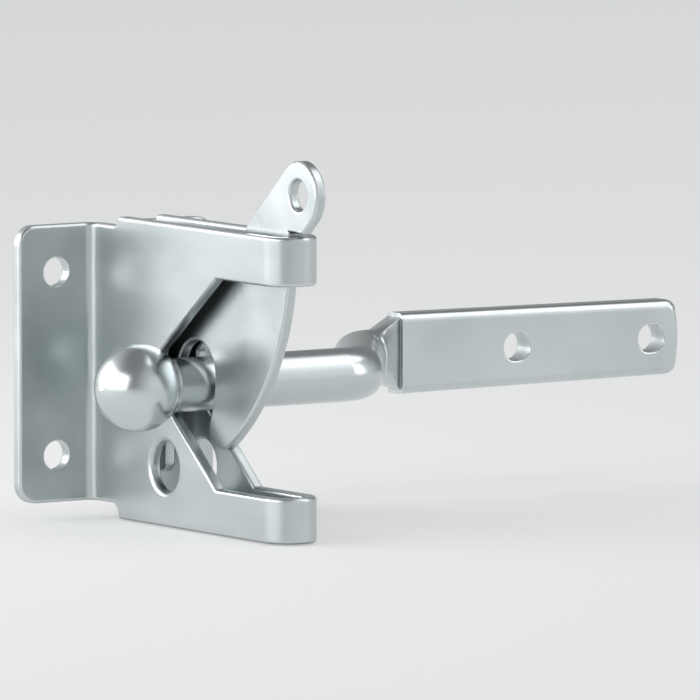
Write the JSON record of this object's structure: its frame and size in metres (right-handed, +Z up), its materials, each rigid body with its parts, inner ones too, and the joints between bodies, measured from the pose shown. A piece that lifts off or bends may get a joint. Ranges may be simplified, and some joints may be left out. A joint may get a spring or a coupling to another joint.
{
  "type": "automatic gate latch",
  "caption": "Automatic gate latch: folded sheet case with a V mouth, a gravity hook lever between its walls and a cranked striker bar with a ball end and a slotted screw plate.",
  "frame": {"origin": "centre of the four post screw holes, on the plane of the flanges' backs", "axes": "+X along the striker bar from its ball to its screw plate, +Y into the post, +Z up"},
  "size_m": [0.1609, 0.079, 0.0768],
  "materials": {
    "case_zinc": "bright zinc plated sheet",
    "lever_zinc": "bright zinc plated plate",
    "rivet_zinc": "bright zinc plated rivet",
    "striker_zinc": "bright zinc plated forging"
  },
  "bodies": {
    "case": {"latch_case": "case_zinc", "pivot_rivet": "rivet_zinc", "spacer_washer_left": "rivet_zinc", "spacer_washer_right": "rivet_zinc"},
    "lever": {"latch_lever": "lever_zinc"},
    "striker": {"striker_bar": "striker_zinc"}
  },
  "joints": [
    {"name": "lever_lift", "type": "hinge", "parent": "case", "child": "lever", "pos_m": [0, -0.0167, 0.0006], "axis": [-1, 0, 0], "range_deg": [0, 38]},
    {"name": "striker_slide", "type": "slide", "parent": "case", "child": "striker", "axis": [1, 0, 0], "range_m": [-0.016, 0.0023]}
  ]
}
